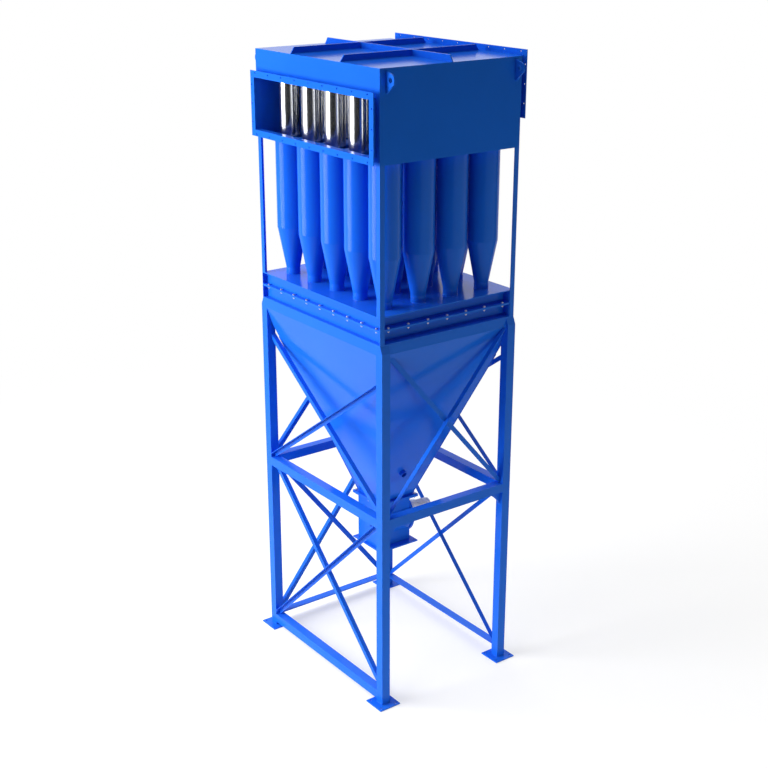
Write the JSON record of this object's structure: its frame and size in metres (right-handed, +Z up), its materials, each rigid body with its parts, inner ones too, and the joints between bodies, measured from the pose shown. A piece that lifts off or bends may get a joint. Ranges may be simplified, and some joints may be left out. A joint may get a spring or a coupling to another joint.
{
  "type": "cyclone separator",
  "caption": "Multi-tube cyclone separator: vertical cyclone tubes under a flanged head box, over a pyramid hopper with rotary valve, on a braced steel stand",
  "frame": {"origin": "centre of the plan at floor level, under the base plates", "axes": "+X is the gas flow from inlet to outlet, -Y is the open service side, +Z is up"},
  "size_m": [1.492, 1.906, 5.35],
  "materials": {
    "stand_paint": "glossy blue coat",
    "hopper_paint": "glossy blue coat",
    "cyclone_paint": "glossy blue coat",
    "casing_paint": "glossy blue coat",
    "valve_paint": "glossy blue coat",
    "tube_steel": "polished",
    "drive_metal": "bright cast"
  },
  "bodies": {
    "root": {"base_plates": "stand_paint", "leg_inlet_service": "stand_paint", "leg_inlet_back": "stand_paint", "leg_outlet_service": "stand_paint", "leg_outlet_back": "stand_paint", "mid_rails": "stand_paint", "low_rails": "stand_paint", "upper_outer_braces": "stand_paint", "upper_inner_braces": "stand_paint", "lower_outer_braces": "stand_paint", "lower_inner_braces": "stand_paint", "rail_gussets": "stand_paint", "hopper_end_plates": "hopper_paint", "hopper_side_plates": "hopper_paint", "hopper_top_frame": "hopper_paint", "hopper_outlet_flange": "hopper_paint", "hopper_probe_socket": "hopper_paint", "lower_skirt": "hopper_paint", "upper_skirt": "hopper_paint", "dust_plate": "hopper_paint", "cyclone_row_1": "cyclone_paint", "cyclone_row_2": "cyclone_paint", "cyclone_row_3": "cyclone_paint", "cyclone_row_4": "cyclone_paint", "corner_posts": "cyclone_paint", "tube_plate": "casing_paint", "inlet_wall": "casing_paint", "outlet_wall": "casing_paint", "side_walls": "casing_paint", "inlet_neck": "casing_paint", "outlet_neck": "casing_paint", "inlet_flange": "casing_paint", "outlet_flange": "casing_paint", "roof_plate": "casing_paint", "roof_ribs": "casing_paint", "lifting_lugs": "casing_paint", "clean_gas_sheet": "casing_paint", "vortex_tube_row_1": "tube_steel", "vortex_tube_row_2": "tube_steel", "vortex_tube_row_3": "tube_steel", "vortex_tube_row_4": "tube_steel", "valve_body": "valve_paint", "valve_end_cover": "valve_paint", "valve_drive_cover": "valve_paint", "valve_drive": "drive_metal"}
  },
  "joints": []
}
